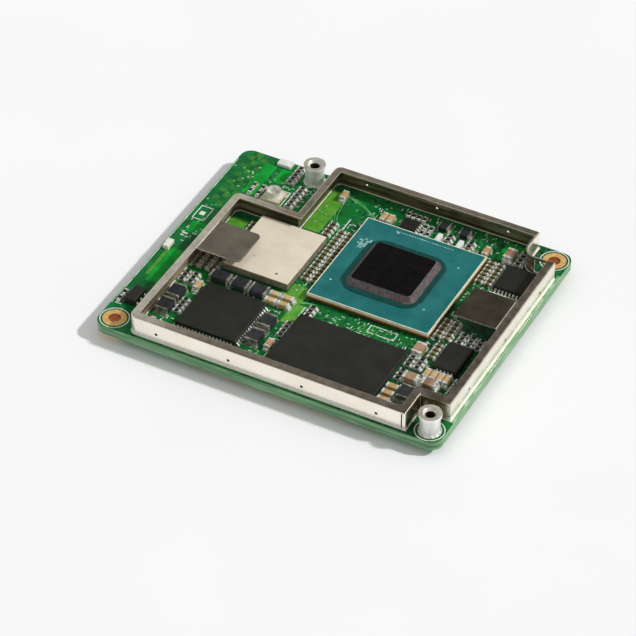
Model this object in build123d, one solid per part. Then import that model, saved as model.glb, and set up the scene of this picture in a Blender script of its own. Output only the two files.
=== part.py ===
from build123d import *
import os

# Compute module on a board of 48 x 40 mm: processor, memory, power chip and radio inside a folded
# shield fence, two threaded spacers on top and three board-to-board plugs underneath.
# Millimetres. Origin under the middle of the board, on the plane that the plugs rest on.
# +X runs along the long front edge, +Y to the back edge, +Z up.

# Sheet metal of the shield fence
sheet = 0.2
fence_height = 2.75
fence_bend = 0.25
fence_lip = 1.05
hole_bay_lip = 0.3
fence_corner = 1.0
fence_inner_corner = 1.5
fence_edge = 0.2

# Floor plan from the left board edge to the right one, back row and front row
left_strip = 4.9
left_space = 4.35
radio_length = 9.35
decoupling_gap = 2.75
processor_side = 17.0
interface_gap = 2.95
interface_length = 4.3
interface_space = 1.5
power_side = 8.5
middle_gap = 4.75
memory_length = 15.0
flash_gap = 3.8
flash_length = 3.2
flash_space = 2.6
right_strip = 0.5

# Floor plan from the front board edge to the back one
front_strip = 0.55
memory_front_space = 1.95
memory_width = 10.0
label_gap = 3.75
back_space = 5.75
back_strip = 0.6

# Board and the plugs that it stands on
board_thickness = 1.25
board_corner = 1.5
back_row = (radio_length + decoupling_gap + processor_side + interface_gap + interface_length
            + interface_space)
front_row = power_side + middle_gap + memory_length + flash_gap + flash_length + flash_space
board_length = left_strip + sheet + left_space + max(back_row, front_row) + sheet + right_strip
board_width = (front_strip + sheet + memory_front_space + memory_width + label_gap
               + processor_side + back_space + sheet + back_strip)
plug_height = 1.1
plug_length = 22.6
plug_width = 3.4
plug_rim = 0.5
plug_slot_depth = 0.75
plug_edge_space = 1.2
plug_front_shift = 1.0
plug_side_shift = 0.5
contact_count = 50
contact_pitch = 0.4
contact_width = 0.18
contact_thickness = 0.15
contact_tail = 0.45
anchor_length = 0.35
anchor_width = 1.6
anchor_thickness = 0.25

# Plated fixing holes near two opposite corners
hole_inset = 2.0
hole_radius = 0.8
plating = 0.05
pad_radius = 1.55
land_thickness = 0.03

# Threaded spacers near the other two corners
spacer_height = 2.9
spacer_rim_radius = 1.47
spacer_rim_height = 0.4
spacer_body_radius = 1.28
thread_radius = 0.62
thread_mouth_radius = 0.95
spacer_wall_space = 2.65

# Bays that the fence leaves free at three corners
antenna_bay_length = 9.1
radio_back_space = 1.0
spacer_bay = 2.6
hole_bay_length = 2.8
hole_bay_width = 3.3
window_height = 2.0
window_sill = 0.25

# Small holes, seam, lands and pick-up tabs of the fence
fence_land_width = 0.4
wall_hole_radius = 0.2
wall_hole_height = 1.1
wall_hole_pitch = 10.2
seam_width = 0.15
seam_offset = 0.6
left_tab_width = 6.1
right_tab_width = 5.9
left_tab_reach = 6.2
right_tab_reach = 5.85
tab_corner = 0.7
left_tab_shift = -1.05
right_tab_shift = 2.6
score_width = 0.15
score_depth = 0.07

# Packages on the board
ball_height = 0.2
ball_width = 0.4
ball_pitch = 1.0
ball_inset = 0.6
substrate_thickness = 0.9
cap_base_length = 9.9
cap_base_width = 9.5
cap_height = 0.78
cap_lean = 0.75
cap_corner = 1.3
cap_shift_x = -0.45
cap_shift_y = -0.15
resin_margin = 0.8
resin_height = 0.1
resin_corner = 2.6
memory_substrate = 0.25
memory_mould = 0.6
memory_ball_pitch = 1.6
memory_ball_height = 0.2
power_height = 0.85
power_pin_count = 16
power_pitch = 0.5
radio_width = 10.7
radio_substrate = 0.3
radio_height = 1.35
interface_width = 4.6
interface_height = 0.8
interface_pin_count = 8
interface_back_shift = 0.25
flash_width = 5.0
flash_height = 0.85
flash_pin_count = 5
flash_back_shift = 0.5
clock_length = 2.3
clock_width = 2.1
clock_height = 0.65
clock_pin_count = 4
clock_offset = 4.5
package_chamfer = 0.06
pin_width = 0.25
pin_reach = 0.4
pin_height = 0.42
pin_pitch = 0.5

# Chip components, small to large: length, width, height and length of the metal end
tiny_length, tiny_width, tiny_height, tiny_end = 1.0, 0.5, 0.42, 0.22
medium_length, medium_width, medium_height, medium_end = 1.6, 0.8, 0.8, 0.32
large_length, large_width, large_height, large_end = 2.0, 1.35, 1.05, 0.38
bead_length, bead_width, bead_height, bead_end = 1.5, 1.4, 0.7, 0.2
choke_length, choke_width, choke_height, choke_end = 2.4, 1.8, 1.0, 0.3
long_choke_length, long_choke_width, long_choke_height, long_choke_end = 2.8, 1.6, 1.1, 0.35
component_lift = 0.03
cap_step = 0.02

# Rows of chip components
row_pitch = 0.8
column_pitch = 1.25
medium_pitch = 1.3
side_gap = 0.25
component_gap = 0.1
decoupling_front_space = 3.2
decoupling_back_space = 2.4
choke_row_shift = 0.6
corner_choke_gap = 0.9

# Outside parts and filters: chip antenna, coaxial socket, lamp and switch chip
antenna_length = 2.0
antenna_width = 1.2
antenna_height = 0.5
coax_side = 2.6
coax_base = 0.35
coax_height = 1.2
coax_ring_radius = 1.0
coax_ring_wall = 0.12
coax_pin_radius = 0.2
coax_spacer_gap = 3.2
coax_wall_gap = 4.25
lamp_length = 1.6
lamp_width = 0.8
lamp_height = 0.6
switch_length = 1.6
switch_width = 2.9
switch_height = 1.0
switch_pitch = 0.95
filter_length = 0.65
filter_width = 1.5
filter_height = 0.8
filter_pitch = 3.0
filter_gap = 3.0


class Area:
    """Plan rectangle on the board, given by its near left corner."""

    def __init__(self, x0, y0, length, width):
        self.x0, self.y0 = x0, y0
        self.x1, self.y1 = x0 + length, y0 + width
        self.x, self.y = x0 + length / 2, y0 + width / 2
        self.length, self.width = length, width


# Sizes of the chip components, as (length, width, height, end)
tiny = (tiny_length, tiny_width, tiny_height, tiny_end)
medium = (medium_length, medium_width, medium_height, medium_end)
large = (large_length, large_width, large_height, large_end)
bead = (bead_length, bead_width, bead_height, bead_end)
choke = (choke_length, choke_width, choke_height, choke_end)
long_choke = (long_choke_length, long_choke_width, long_choke_height, long_choke_end)

# Levels
board_bottom = plug_height
board_top = board_bottom + board_thickness
fence_foot = board_top + land_thickness

# Plan of the board, the fence and the large packages
board = Area(-board_length / 2, -board_width / 2, board_length, board_width)
fence_x0 = board.x0 + left_strip
fence_x1 = board.x1 - right_strip
fence_y0 = board.y0 + front_strip
fence_y1 = board.y1 - back_strip
first_x = fence_x0 + sheet + left_space
memory_y0 = fence_y0 + sheet + memory_front_space
processor_y0 = memory_y0 + memory_width + label_gap
radio = Area(first_x, processor_y0, radio_length, radio_width)
processor = Area(radio.x1 + decoupling_gap, processor_y0, processor_side, processor_side)
interface = Area(processor.x1 + interface_gap, processor.y1 - interface_width + interface_back_shift,
                 interface_length, interface_width)
memory = Area(first_x + power_side + middle_gap, memory_y0, memory_length, memory_width)
power = Area(first_x, memory.y1 - power_side, power_side, power_side)
flash = Area(memory.x1 + flash_gap, processor.y0 - flash_width + flash_back_shift,
             flash_length, flash_width)
clock = Area(processor.x - clock_offset, processor.y1 + row_pitch, clock_length, clock_width)

# Fixing points
near_hole = (board.x0 + hole_inset, board.y0 + hole_inset)
far_hole = (board.x1 - hole_inset, board.y1 - hole_inset)
near_spacer = (board.x1 - hole_inset, board.y0 + hole_inset)
antenna_bay_x = fence_x0 + antenna_bay_length
antenna_bay_y = radio.y1 + radio_back_space + sheet
far_spacer = (antenna_bay_x - spacer_wall_space, board.y1 - hole_inset)
spacer_bay_x = near_spacer[0] - spacer_bay
spacer_bay_y = near_spacer[1] + spacer_bay
hole_bay_x = far_hole[0] - hole_bay_length
hole_bay_y = far_hole[1] - hole_bay_width


def block(x0, y0, z0, length, width, height):
    """Box from its lowest corner."""
    return Pos(x0, y0, z0) * Box(length, width, height, align=(Align.MIN, Align.MIN, Align.MIN))


def slab(area, z0, height, edge=package_chamfer):
    """Moulded package body with a broken edge round its top face."""
    body = block(area.x0, area.y0, z0, area.length, area.width, height)
    return chamfer(body.edges().group_by(Axis.Z)[-1], edge)


def grid(x, y, columns, rows, dx=column_pitch, dy=row_pitch):
    """Points of a grid that starts at x, y."""
    return [(x + dx * column, y + dy * row) for column in range(columns) for row in range(rows)]


def main_board():
    """Laminate with rounded corners and two drilled holes."""
    plan = Pos(board.x, board.y) * RectangleRounded(board.length, board.width, board_corner)
    drill = Circle(hole_radius + plating)
    plan -= Pos(*near_hole) * drill
    plan -= Pos(*far_hole) * drill
    return Pos(0, 0, board_bottom) * extrude(plan, board_thickness)


def hole_plating(x, y):
    """Gold plated barrel with a flat ring on both faces of the board."""
    barrel = Circle(hole_radius + plating) - Circle(hole_radius)
    ring = Circle(pad_radius) - Circle(hole_radius)
    sleeve = Pos(0, 0, board_bottom) * extrude(barrel, board_thickness)
    sleeve += Pos(0, 0, board_top) * extrude(ring, land_thickness)
    sleeve += Pos(0, 0, board_bottom - land_thickness) * extrude(ring, land_thickness)
    return Pos(x, y, 0) * sleeve


def spacer(x, y):
    """Turned spacer with a rim and a blind thread that is countersunk at its mouth."""
    rim_foot = spacer_height - spacer_rim_height
    mouth_foot = spacer_height - thread_mouth_radius + thread_radius
    profile = Polyline(
        (thread_radius, 0), (spacer_body_radius, 0), (spacer_body_radius, rim_foot),
        (spacer_rim_radius, rim_foot), (spacer_rim_radius, spacer_height),
        (thread_mouth_radius, spacer_height), (thread_radius, mouth_foot), close=True,
    )
    turned = revolve(Plane.XZ * make_face(profile), Axis.Z)
    return Pos(x, y, board_top) * turned


def rounded(plan, corners, radius):
    """Plan with a rounding at each of the named corners."""
    for corner in corners:
        plan = fillet(plan.vertices().sort_by_distance((*corner, 0))[0], radius)
    return plan


def fence_plan(inset, hole_bay_inset=None):
    """Outline of the fence at an inset from its outer face, with a bay at three of its corners."""
    if hole_bay_inset is None:
        hole_bay_inset = inset
    x0, x1 = fence_x0 + inset, fence_x1 - inset
    y0, y1 = fence_y0 + inset, fence_y1 - inset
    bay_x, bay_y = spacer_bay_x - inset, spacer_bay_y + inset
    hole_x, hole_y = hole_bay_x - hole_bay_inset, hole_bay_y - hole_bay_inset
    left_x, left_y = antenna_bay_x + inset, antenna_bay_y - inset
    plan = make_face(Polyline(
        (x0, y0), (bay_x, y0), (bay_x, bay_y), (x1, bay_y), (x1, hole_y), (hole_x, hole_y),
        (hole_x, y1), (left_x, y1), (left_x, left_y), (x0, left_y), close=True,
    ))
    plan = rounded(plan, [(x0, y0), (left_x, y1), (x0, left_y)], max(fence_corner - inset, fence_edge))
    return rounded(plan, [(hole_x, hole_y)], fence_inner_corner + hole_bay_inset)


def pickup_tab(x0, x1, width):
    """Plan of a pick-up tab that reaches into the opening from one lip."""
    return Pos((x0 + x1) / 2, 0) * Rectangle(x1 - x0, width)


def shield_fence():
    """One folded sheet: walls, bend, inward lip, two tabs, small holes, a seam and a window."""
    outside = extrude(fence_plan(0), fence_height)
    outside = fillet(outside.edges().group_by(Axis.Z)[-1], fence_bend)
    inside = extrude(fence_plan(sheet), fence_height - sheet)
    left_lip = fence_x0 + fence_lip
    right_lip = fence_x1 - fence_lip
    opening = fence_plan(fence_lip, hole_bay_lip)
    left_tab = pickup_tab(left_lip - sheet, left_lip + left_tab_reach, left_tab_width)
    right_tab = pickup_tab(right_lip - right_tab_reach, right_lip + sheet, right_tab_width)
    left_tab = fillet(left_tab.vertices().group_by(Axis.X)[-1], tab_corner)
    opening -= Pos(0, left_tab_shift) * left_tab
    opening -= Pos(0, right_tab_shift) * right_tab
    fence = outside - inside - Pos(0, 0, fence_height - 2 * sheet) * extrude(opening, 3 * sheet)
    fence -= fence_cuts(left_lip, right_lip)
    return Pos(0, 0, fence_foot) * fence


def fence_cuts(left_lip, right_lip):
    """Small holes in three walls, the seam, the window and the scores across the tabs."""
    punch = Pos(0, 0, -3 * sheet / 2) * extrude(RegularPolygon(wall_hole_radius, 8), 3 * sheet)
    across = Rot(90, 0, 0) * punch
    along = Rot(0, 90, 0) * punch
    front_x = (fence_x0 + spacer_bay_x) / 2
    back_x = (antenna_bay_x + hole_bay_x) / 2
    cuts = [Pos(front_x + wall_hole_pitch * step, fence_y0 + sheet / 2, wall_hole_height) * across
            for step in (-1.5, -0.5, 0.5, 1.5)]
    for step in (-1, 0, 1):
        shift = wall_hole_pitch * step
        cuts.append(Pos(back_x + shift, fence_y1 - sheet / 2, wall_hole_height) * across)
        cuts.append(Pos(fence_x1 - sheet / 2, shift, wall_hole_height) * along)
    cuts.append(block(spacer_bay_x - seam_offset, fence_y0 - sheet, 0,
                      seam_width, 3 * sheet, fence_height - fence_bend))
    window_x = hole_bay_x + fence_inner_corner
    cuts.append(block(window_x, hole_bay_y - 2 * sheet, window_sill,
                      fence_x1 - fence_bend - window_x, 3 * sheet, window_height))
    top = fence_height - score_depth
    for x, y, width in ((left_lip, left_tab_shift, left_tab_width),
                        (right_lip - score_width, right_tab_shift, right_tab_width)):
        cuts.append(block(x, y - width / 2, top, score_width, width, sheet))
    return cuts


def fence_land():
    """Tinned copper land on the board, under the wall of the fence."""
    spread = (fence_land_width - sheet) / 2
    ring = fence_plan(-spread) - fence_plan(sheet + spread)
    return Pos(0, 0, board_top) * extrude(ring, land_thickness)


def ball_ring(area, pitch, height):
    """Outer row of solder joints under a package, each a short square post."""
    across = int((area.length - 2 * ball_inset) / pitch)
    along = int((area.width - 2 * ball_inset) / pitch)
    x_start = area.x - across * pitch / 2 - ball_width / 2
    y_start = area.y - along * pitch / 2 - ball_width / 2
    spots = [(x_start + pitch * i, y_start + pitch * j)
             for i in range(across + 1) for j in range(along + 1)
             if i in (0, across) or j in (0, along)]
    return [block(x, y, board_top, ball_width, ball_width, height) for x, y in spots]


def leaning_block(length, width, corner, height, lean):
    """Moulded block with rounded corners whose four walls lean in."""
    foot = RectangleRounded(length, width, corner)
    head = RectangleRounded(length - 2 * lean, width - 2 * lean, max(corner - lean, lean / 2))
    return loft([foot, Pos(0, 0, height) * head])


def processor_parts():
    """Laminate on solder balls, with a moulded cap in the middle and resin round its foot."""
    level = board_top + ball_height
    laminate = block(processor.x0, processor.y0, level, processor_side, processor_side,
                     substrate_thickness)
    level += substrate_thickness
    centre = Pos(processor.x + cap_shift_x, processor.y + cap_shift_y)
    resin = leaning_block(cap_base_length + 2 * resin_margin, cap_base_width + 2 * resin_margin,
                          resin_corner, resin_height, resin_height)
    cap = leaning_block(cap_base_length, cap_base_width, cap_corner, cap_height, cap_lean)
    return laminate, centre * Pos(0, 0, level) * resin, centre * Pos(0, 0, level + resin_height) * cap


def memory_parts():
    """Laminate on solder balls with a moulded block on it."""
    level = board_top + memory_ball_height
    laminate = block(memory.x0, memory.y0, level, memory_length, memory_width, memory_substrate)
    return laminate, slab(memory, level + memory_substrate, memory_mould)


def radio_parts():
    """Laminate of the radio with its plated mould block on it."""
    laminate = block(radio.x0, radio.y0, board_top, radio_length, radio_width, radio_substrate)
    return laminate, slab(radio, board_top + radio_substrate, radio_height - radio_substrate)


def side_pins(area, count, pitch, sides):
    """Soldered feet along the named sides of a package, each a wedge that falls away from it."""
    wedge = extrude(make_face(Polyline((0, 0), (pin_reach, 0), (0, pin_height), close=True)), pin_width)
    foot = Pos(0, pin_width / 2, 0) * Rot(90, 0, 0) * wedge
    turns = {"right": (0, area.x1, 0), "back": (90, 0, area.y1),
             "left": (180, area.x0, 0), "front": (270, 0, area.y0)}
    pins = []
    for side in sides:
        turn, x, y = turns[side]
        for step in range(count):
            shift = (step - (count - 1) / 2) * pitch
            at_x, at_y = (x, area.y + shift) if x else (area.x + shift, y)
            pins.append(Pos(at_x, at_y, board_top) * Rot(0, 0, turn) * foot)
    return pins


def chip_component(size, x, y, turned=False):
    """Chip component on its centre: the body and its two metal end caps."""
    length, width, height, end = size
    body = Pos(0, 0, component_lift) * Box(
        length - 2 * end, width - 2 * cap_step, height - component_lift - cap_step,
        align=(Align.CENTER, Align.CENTER, Align.MIN))
    cap = Box(end, width, height, align=(Align.CENTER, Align.CENTER, Align.MIN))
    place = Pos(x, y, board_top) * Rot(0, 0, 90 if turned else 0)
    reach = (length - end) / 2
    return place * body, [place * Pos(-reach, 0, 0) * cap, place * Pos(reach, 0, 0) * cap]


def chip_group(size, spots, turned=False):
    """Bodies and end caps of many like components."""
    bodies, ends = [], []
    for x, y in spots:
        body, caps = chip_component(size, x, y, turned)
        bodies.append(body)
        ends += caps
    return bodies, ends


def joined(*groups):
    """Join groups of bodies and end caps into one pair of lists."""
    bodies = [body for group in groups for body in group[0]]
    ends = [cap for group in groups for cap in group[1]]
    return bodies, ends


def small_capacitors():
    """Decoupling capacitors beside the processor, radio, memory and power chip."""
    beside = side_gap + tiny_length / 2
    start = processor.y0 + decoupling_front_space
    rows = int((processor_side - decoupling_front_space - decoupling_back_space) / row_pitch)
    spots = grid(radio.x1 + beside, start, 1, rows)
    spots += grid(processor.x0 - beside, start, 1, rows)
    spots += grid(radio.x1 - tiny_length, radio.y1 + 2 * row_pitch, 1, 4)
    spots += grid(radio.x0 - beside, radio.y1 - 4 * row_pitch, 1, 4)
    spots += grid(fence_x0 + sheet + beside, radio.y0 - row_pitch, 3, 4)
    spots += grid(processor.x1 + beside, interface.y0 + tiny_width, 2, 6)
    over_flash = flash.y1 + pin_reach + component_gap + tiny_width / 2
    spots += grid(processor.x1 + beside, over_flash, 2, 5)
    spots += grid(flash.x0 - pin_reach - beside, flash.y1 - 4 * row_pitch, 1, 4)
    return chip_group(tiny, spots)


def small_resistors():
    """Resistors in short rows round the power chip, the memory and the outside edges."""
    beside = side_gap + tiny_length / 2
    power_left = power.x0 - pin_reach - beside
    far_left = power_left - 2 * column_pitch
    spots = grid(power_left, power.y0 + 3 * row_pitch, 1, 4)
    spots += grid(far_left, power.y1 - row_pitch / 2, 2, 3)
    spots += grid(far_left, power.y0 - side_gap, 2, 1)
    spots += grid(memory.x0 - beside, memory.y1 - 5 * row_pitch, 1, 4)
    spots += grid(memory.x0 + tiny_length / 2, memory.y1 + row_pitch, 1, 3)
    spots += grid(memory.x1 + beside, memory.y1 - 2 * row_pitch, 2, 3)
    spots += grid(memory.x1 + beside, memory.y1 - 5.5 * row_pitch, 1, 3)
    spots += grid(flash.x1 + beside, flash.y0 - 4 * row_pitch, 1, 4)
    spots += grid(far_spacer[0] - spacer_wall_space, board.y1 - 5 * row_pitch, 1, 5)
    spots += grid(far_spacer[0] - tiny_length / 2, antenna_bay_y + 4 * row_pitch, 1, 6)
    over_flash = flash.y1 + pin_reach + component_gap + tiny_width / 2
    spots += grid(processor.x1 + 3 * column_pitch, over_flash, 3, 3)
    spots += grid(interface.x0 + row_pitch, interface.y1 + pin_reach + side_gap + tiny_width, 1, 4)
    filters_x = clock.x1 + filter_gap + filter_length + beside
    spots += grid(filters_x, processor.y1 + row_pitch, 2, 3, dx=filter_pitch)
    behind_clock = clock.y1 + pin_reach + component_gap + tiny_length / 2
    turned = grid(clock.x0, behind_clock, 4, 1, dx=tiny_width + side_gap)
    turned += grid(clock.x1 + row_pitch, clock.y0 + tiny_length / 2, 2, 2, dx=row_pitch, dy=column_pitch)
    turned += grid(board.x0 + row_pitch, power.y0 + column_pitch, 1, 2, dy=column_pitch)
    turned += grid(board.x0 + left_strip, antenna_bay_y + 3 * column_pitch, 2, 2, dy=column_pitch)
    return joined(chip_group(tiny, spots), chip_group(tiny, turned, True))


def medium_capacitors():
    """Output capacitors of the power stages."""
    half = medium_length / 2
    pitch = medium_width + side_gap / 2
    row_y = power.y1 + pin_reach + component_gap + medium_width / 2
    across = grid(power.x1, row_y, 2, 2, dx=medium_length + side_gap / 2, dy=medium_pitch)
    across += grid(memory.x1 + side_gap + half, memory.y0 + side_gap + medium_width, 1, 3, dy=medium_pitch)
    turned = grid(flash.x0 - component_gap, flash.y0 - pin_reach - side_gap - half, 4, 1, dx=pitch)
    turned.append((power.x0 - pin_reach - side_gap - medium_width / 2, power.y1 - half))
    turned.append((memory.x0 - side_gap - medium_width, memory.y0 + 4.5 * row_pitch))
    turned.append((antenna_bay_x + 3 * medium_width, processor.y1 + 4 * row_pitch))
    turned.append((interface.x0 - 3 * column_pitch, processor.y1 + 2 * row_pitch))
    turned += grid(clock.x0 - 2 * column_pitch, clock.y0 + row_pitch, 2, 1, dx=pitch)
    return joined(chip_group(medium, across), chip_group(medium, turned, True))


def large_capacitors():
    """Bulk capacitors in the front right corner and behind the processor."""
    row_y = flash.y0 - pin_reach - 2 * side_gap - medium_length - large_width / 2
    row_x = memory.x1 + side_gap + tiny_length + component_gap + large_length / 2
    pair = grid(row_x, row_y, 2, 1, dx=large_length + 2 * side_gap)
    turned = [(memory.x1 + side_gap + large_width / 2, memory.y1 + side_gap + large_length / 2),
              (interface.x0 - large_width / 2, interface.y1 + large_length)]
    return joined(chip_group(large, pair), chip_group(large, turned, True))


def power_chokes():
    """Moulded chokes of the power stages round the power chip, and two beads at the back."""
    row_y = (power.y1 + pin_reach + radio.y0) / 2 - side_gap
    row_x = power.x0 - choke_row_shift
    next_x = row_x + long_choke_length + side_gap + choke_length / 2
    behind = grid(next_x, row_y, 2, 1, dx=choke_length + side_gap)
    half = choke_width / 2
    side_y = power.y0 + choke_length
    turned = grid(power.x0 - pin_reach - tiny_length - 2 * side_gap - half, side_y, 1, 2,
                  dy=choke_length + 2 * side_gap)
    turned += grid(power.x1 + pin_reach + side_gap + half, side_y, 1, 2, dy=choke_length + 3 * side_gap)
    corner_y = (flash.y0 - pin_reach - 2 * side_gap - medium_length - large_width
                - corner_choke_gap - choke_length / 2)
    turned.append((memory.x1 + 2 * side_gap + medium_length + half, corner_y))
    bead_x = clock.x1 + filter_gap - component_gap
    beads = grid(bead_x, processor.y1 + row_pitch + filter_width + bead_width, 2, 1, dx=filter_pitch)
    return joined(chip_group(long_choke, [(row_x + long_choke_length / 2, row_y)]),
                  chip_group(choke, behind), chip_group(choke, turned, True), chip_group(bead, beads))


def coaxial_socket():
    """Low coaxial socket: moulded base, spun ring and centre pin."""
    x, y = far_spacer[0] - coax_spacer_gap, antenna_bay_y + coax_wall_gap
    base = Pos(x, y, board_top) * Box(coax_side, coax_side, coax_base,
                                      align=(Align.CENTER, Align.CENTER, Align.MIN))
    ring = Circle(coax_ring_radius) - Circle(coax_ring_radius - coax_ring_wall)
    level = board_top + coax_base
    shell = Pos(x, y, level) * extrude(ring, coax_height - coax_base)
    pin = Pos(x, y, level) * extrude(Circle(coax_pin_radius), coax_height - coax_base - side_gap)
    return base, shell, pin


def chip_antenna():
    """Ceramic antenna bar at the back edge of the board."""
    x = fence_x0 + 2 * side_gap
    return block(x, board.y1 - side_gap - antenna_width, board_top,
                 antenna_length, antenna_width, antenna_height)


def status_lamp():
    """Lamp at the left edge of the board."""
    lamp = block(board.x0 + 2 * side_gap, processor.y0 + side_gap, board_top,
                 lamp_width, lamp_length, lamp_height)
    return chamfer(lamp.edges().group_by(Axis.Z)[-1], package_chamfer)


def switch_parts():
    """Load switch in a small leaded package outside the fence."""
    area = Area(board.x0 + 2 * row_pitch, power.y0 + row_pitch, switch_length, switch_width)
    body = slab(area, board_top, switch_height, 2 * package_chamfer)
    legs = side_pins(area, 3, switch_pitch, ("right",)) + side_pins(area, 2, 2 * switch_pitch, ("left",))
    return body, legs


def ceramic_filters():
    """Two pale ceramic filters behind the processor."""
    x = clock.x1 + filter_gap
    return [block(x + filter_pitch * step, processor.y1 + component_gap + side_gap, board_top,
                  filter_length, filter_width, filter_height) for step in range(2)]


def plug(x, y, turned):
    """Board-to-board plug: slotted housing, two rows of contacts and two end anchors."""
    place = Pos(x, y, 0) * Rot(0, 0, 90 if turned else 0)
    housing = Pos(0, 0, plug_height / 2) * Box(plug_length, plug_width, plug_height)
    housing = chamfer(housing.edges().group_by(Axis.Z)[0], package_chamfer)
    housing -= Box(plug_length - 4 * plug_rim, plug_width - 4 * plug_rim, plug_slot_depth,
                   align=(Align.CENTER, Align.CENTER, Align.MIN))
    tail = extrude(make_face(Polyline((0, 0), (contact_tail, 0), (0, -contact_thickness), close=True)),
                   contact_width)
    tail = Pos(0, contact_width / 2, plug_height) * Rot(90, 0, 0) * tail
    contacts = []
    for turn in (90, 270):
        for step in range(contact_count):
            shift = (step - (contact_count - 1) / 2) * contact_pitch
            contacts.append(place * Rot(0, 0, turn) * Pos(plug_width / 2, shift, 0) * tail)
    anchor = Box(anchor_length, anchor_width, anchor_thickness, align=(Align.MIN, Align.CENTER, Align.MAX))
    anchors = [place * Rot(0, 0, turn) * Pos(plug_length / 2, 0, plug_height) * anchor
               for turn in (0, 180)]
    return place * housing, contacts, anchors


def plug_places():
    """One plug along the front edge and one along each short edge."""
    reach = plug_edge_space + plug_width / 2
    return [(plug_front_shift, board.y0 + reach, False),
            (board.x0 + reach, plug_side_shift, True),
            (board.x1 - reach, plug_side_shift, True)]


def save(name, shape):
    """Write one node, either a solid or a group of separate solids."""
    if isinstance(shape, (list, tuple)):
        shape = Compound(children=[solid for item in shape for solid in item.solids()])
    export_step(shape, f"parts/{name}.step")


os.makedirs("parts", exist_ok=True)

save("main_board", main_board())
save("hole_platings", [hole_plating(*near_hole), hole_plating(*far_hole)])
save("threaded_spacers", [spacer(*near_spacer), spacer(*far_spacer)])
save("shield_fence", shield_fence())
save("fence_land", fence_land())

processor_laminate, processor_resin, processor_cap = processor_parts()
save("processor_laminate", processor_laminate)
save("processor_resin", processor_resin)
save("processor_cap", processor_cap)
save("processor_balls", ball_ring(processor, ball_pitch, ball_height))

memory_laminate, memory_block = memory_parts()
save("memory_laminate", memory_laminate)
save("memory_block", memory_block)
save("memory_balls", ball_ring(memory, memory_ball_pitch, memory_ball_height))

radio_laminate, radio_block = radio_parts()
save("radio_laminate", radio_laminate)
save("radio_block", radio_block)

save("power_chip", slab(power, board_top, power_height))
save("power_chip_pins", side_pins(power, power_pin_count, power_pitch, ("front", "back", "left", "right")))
save("interface_chip", slab(interface, board_top, interface_height))
save("interface_chip_pins", side_pins(interface, interface_pin_count, pin_pitch, ("front", "back")))
save("flash_chip", slab(flash, board_top, flash_height))
save("flash_chip_pins", side_pins(flash, flash_pin_count, pin_pitch, ("front", "back")))
save("clock_chip", slab(clock, board_top, clock_height))
save("clock_chip_pins", side_pins(clock, clock_pin_count, pin_pitch, ("front", "back", "left", "right")))
switch_body, switch_legs = switch_parts()
save("switch_chip", switch_body)
save("switch_chip_legs", switch_legs)

for node, group in (("small_capacitor", small_capacitors()), ("small_resistor", small_resistors()),
                    ("medium_capacitor", medium_capacitors()), ("large_capacitor", large_capacitors()),
                    ("power_choke", power_chokes())):
    save(f"{node}_bodies", group[0])
    save(f"{node}_ends", group[1])

save("ceramic_filters", ceramic_filters())
save("chip_antenna", chip_antenna())
save("status_lamp", status_lamp())
coax_base_part, coax_shell, coax_pin = coaxial_socket()
save("coaxial_socket_base", coax_base_part)
save("coaxial_socket_shell", coax_shell)
save("coaxial_socket_pin", coax_pin)

for number, place in enumerate(plug_places(), 1):
    plug_housing, plug_contacts, plug_anchors = plug(*place)
    save(f"plug_{number}_housing", plug_housing)
    save(f"plug_{number}_contacts", plug_contacts)
    save(f"plug_{number}_anchors", plug_anchors)
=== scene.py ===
import bmesh
import bpy
import math
import random
from mathutils import Matrix, Vector


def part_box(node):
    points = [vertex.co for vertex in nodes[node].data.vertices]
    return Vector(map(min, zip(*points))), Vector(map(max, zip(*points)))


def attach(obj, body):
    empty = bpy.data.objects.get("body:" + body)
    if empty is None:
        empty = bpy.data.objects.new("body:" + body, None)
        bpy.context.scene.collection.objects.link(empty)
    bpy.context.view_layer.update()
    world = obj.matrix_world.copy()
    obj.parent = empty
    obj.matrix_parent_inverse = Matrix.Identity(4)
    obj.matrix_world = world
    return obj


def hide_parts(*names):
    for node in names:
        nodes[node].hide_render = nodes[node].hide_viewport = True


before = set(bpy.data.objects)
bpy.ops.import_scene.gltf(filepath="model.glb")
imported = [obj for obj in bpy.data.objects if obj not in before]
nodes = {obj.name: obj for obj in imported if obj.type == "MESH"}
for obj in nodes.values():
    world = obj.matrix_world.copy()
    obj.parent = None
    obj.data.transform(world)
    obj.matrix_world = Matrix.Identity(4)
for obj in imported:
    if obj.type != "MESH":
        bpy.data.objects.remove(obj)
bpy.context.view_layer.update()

# Camera
# A long lens stands before the front edge, a little to its right, and looks down by 40 degrees.
# Its shift only places the module left of the middle and high in the frame.
turn, tilt, roll = math.radians(27.135), math.radians(40.485), math.radians(0.595)
camera_distance = 0.417345
aim = Vector((0, 0, 0.00235))
back = Vector((math.sin(turn) * math.cos(tilt), -math.cos(turn) * math.cos(tilt), math.sin(tilt)))
level_right = Vector((math.cos(turn), math.sin(turn), 0))
level_up = back.cross(level_right)
right = level_right * math.cos(roll) + level_up * math.sin(roll)
up = level_up * math.cos(roll) - level_right * math.sin(roll)
bpy.ops.object.camera_add()
camera = bpy.context.object
camera.matrix_world = Matrix((
    (right.x, up.x, back.x, aim.x + back.x * camera_distance),
    (right.y, up.y, back.y, aim.y + back.y * camera_distance),
    (right.z, up.z, back.z, aim.z + back.z * camera_distance),
    (0, 0, 0, 1)))
camera.data.lens = 186.64
camera.data.sensor_width = 36
camera.data.shift_x = -0.0297
camera.data.shift_y = -0.0455
camera.data.clip_start = 0.01
bpy.context.scene.camera = camera
bpy.context.scene.view_settings.view_transform = "Standard"


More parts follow.
